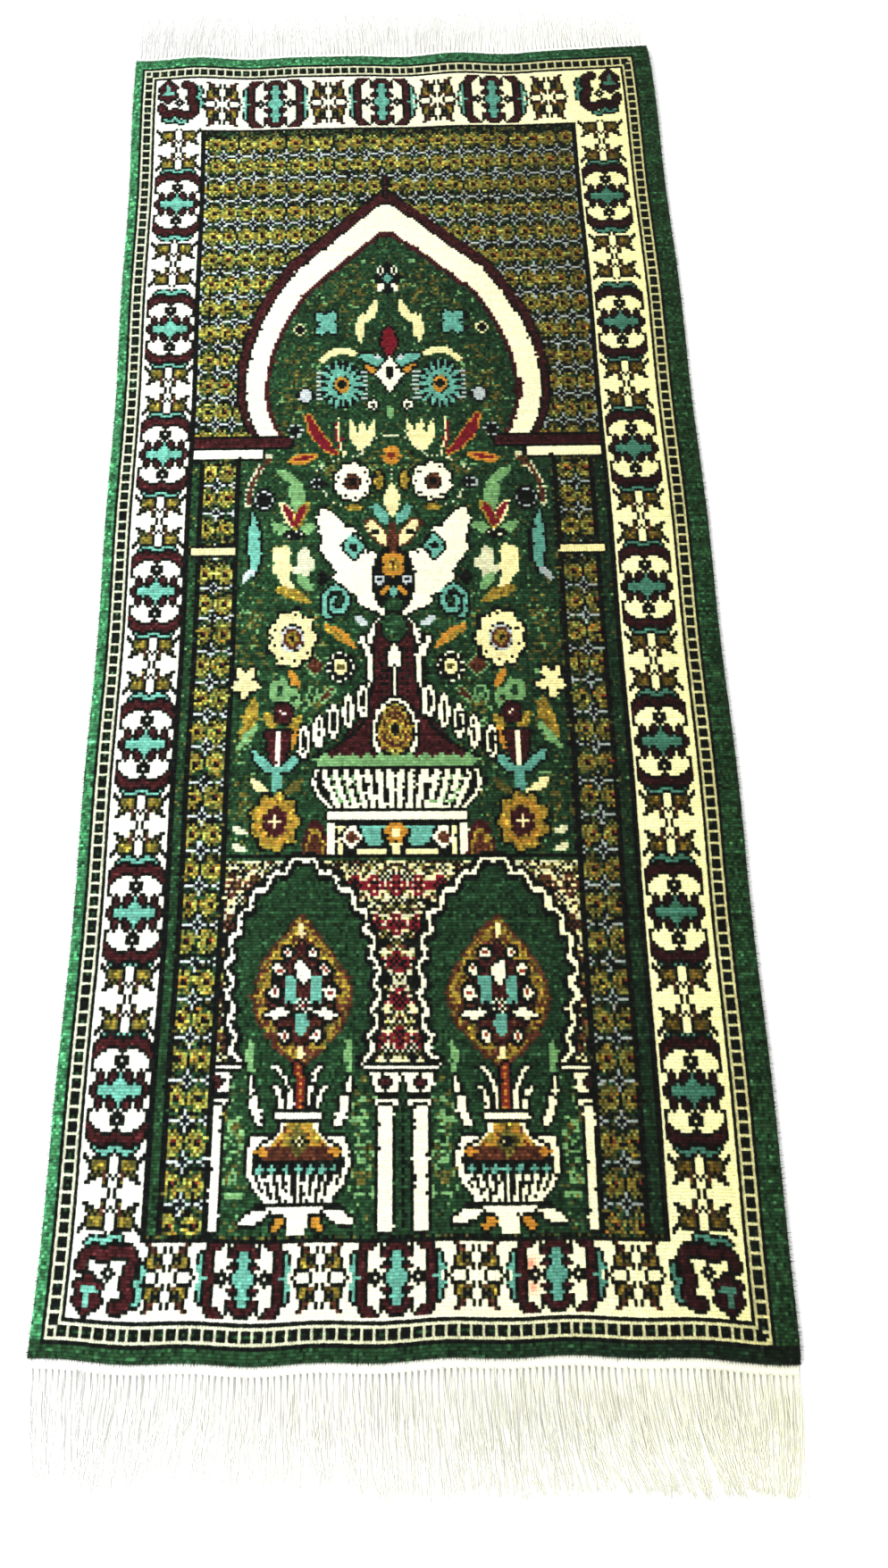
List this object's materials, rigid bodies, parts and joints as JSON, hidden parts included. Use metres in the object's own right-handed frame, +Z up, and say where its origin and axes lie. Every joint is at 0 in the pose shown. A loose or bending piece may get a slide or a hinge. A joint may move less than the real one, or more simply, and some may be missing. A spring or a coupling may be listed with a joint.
{
  "type": "prayer rug",
  "caption": "Knotted pile prayer rug lying flat, with a niche field, a cartouche border and a loose cream fringe at each end.",
  "frame": {"origin": "middle of the rug's footprint, fringes included, at floor level", "axes": "+X across the width, +Y along the length towards the end with the niche, +Z up out of the pile"},
  "size_m": [0.6218, 1.5996, 0.0127],
  "materials": {
    "pile": "cut wool pile in green, ivory, black, maroon, turquoise and gold",
    "fringe": "loose cream yarn, matt"
  },
  "bodies": {
    "root": {"rug_pile": "pile", "fringe_front": "fringe", "fringe_back": "fringe"}
  },
  "joints": []
}
